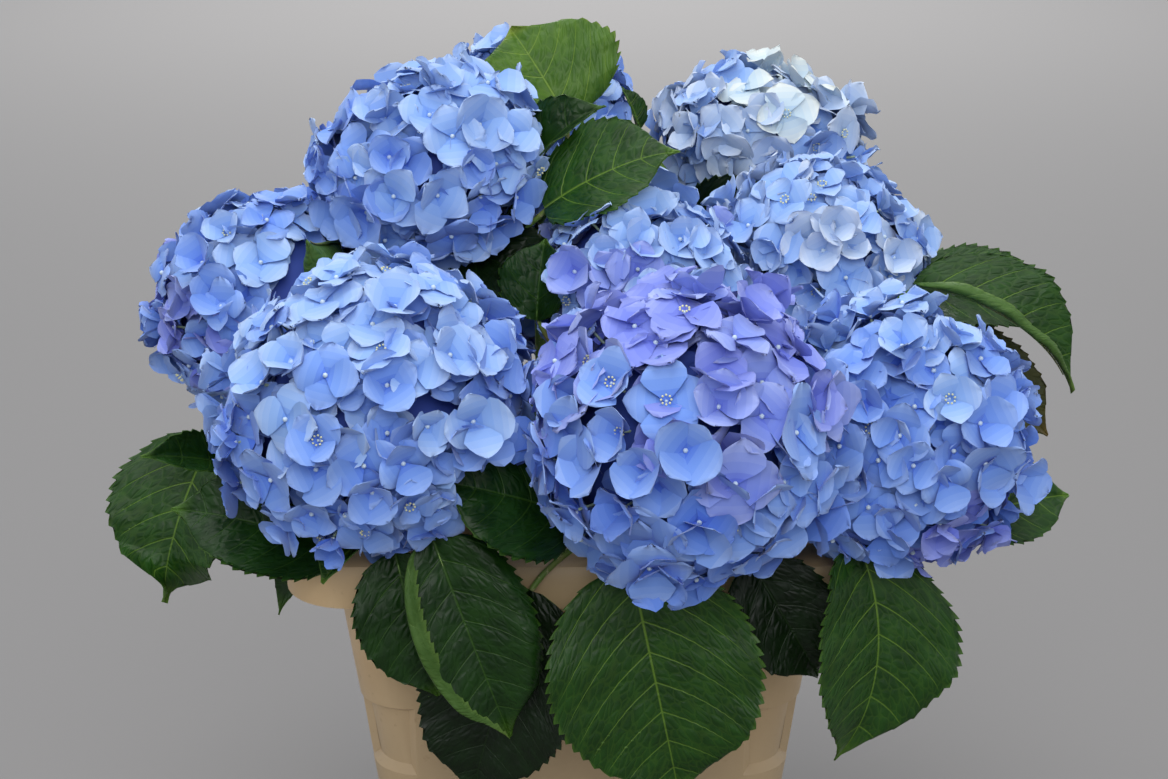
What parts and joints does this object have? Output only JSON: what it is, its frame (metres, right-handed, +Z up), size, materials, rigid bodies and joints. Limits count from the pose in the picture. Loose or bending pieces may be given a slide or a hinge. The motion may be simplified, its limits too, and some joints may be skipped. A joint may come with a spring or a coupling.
{
  "type": "cut hydrangeas in a flower bucket",
  "caption": "Blue mophead hydrangea stems with broad toothed leaves, standing in a tapered rectangular plastic bucket with a turned-down rim.",
  "frame": {"origin": "centre of the bucket's flat underside, in the plane that it stands on", "axes": "+Z up; X along the bucket's broad sides; the front of the bunch looks towards -Y"},
  "size_m": [0.5554, 0.5016, 0.581],
  "materials": {
    "bucket": "satin cream plastic with faint marks of use",
    "stem": "green bark, matt, with pale specks",
    "shoot": "deep green leaf with pale veins and a soft gloss",
    "bloom": "thin matt sepals, blue with paler and violet tints"
  },
  "bodies": {
    "root": {"bucket": "bucket", "stem_left_top": "stem", "stem_back_top": "stem", "stem_left": "stem", "stem_front_left": "stem", "stem_front_centre": "stem", "stem_right": "stem", "stem_right_top": "stem", "stem_middle": "stem", "stem_right_back": "stem", "stem_back_left": "stem", "stem_back_right": "stem", "stem_back": "stem", "shoot_left_top": "shoot", "shoot_back_top": "shoot", "shoot_left": "shoot", "shoot_front_left": "shoot", "shoot_front_centre": "shoot", "shoot_right": "shoot", "shoot_right_top": "shoot", "shoot_middle": "shoot", "shoot_right_back": "shoot", "shoot_back_left": "shoot", "shoot_back_right": "shoot", "shoot_back": "shoot", "bloom_left_top": "bloom", "bloom_back_top": "bloom", "bloom_left": "bloom", "bloom_front_left": "bloom", "bloom_front_centre": "bloom", "bloom_right": "bloom", "bloom_right_top": "bloom", "bloom_middle": "bloom", "bloom_right_back": "bloom", "bloom_back_left": "bloom", "bloom_back_right": "bloom", "bloom_back": "bloom"}
  },
  "joints": []
}
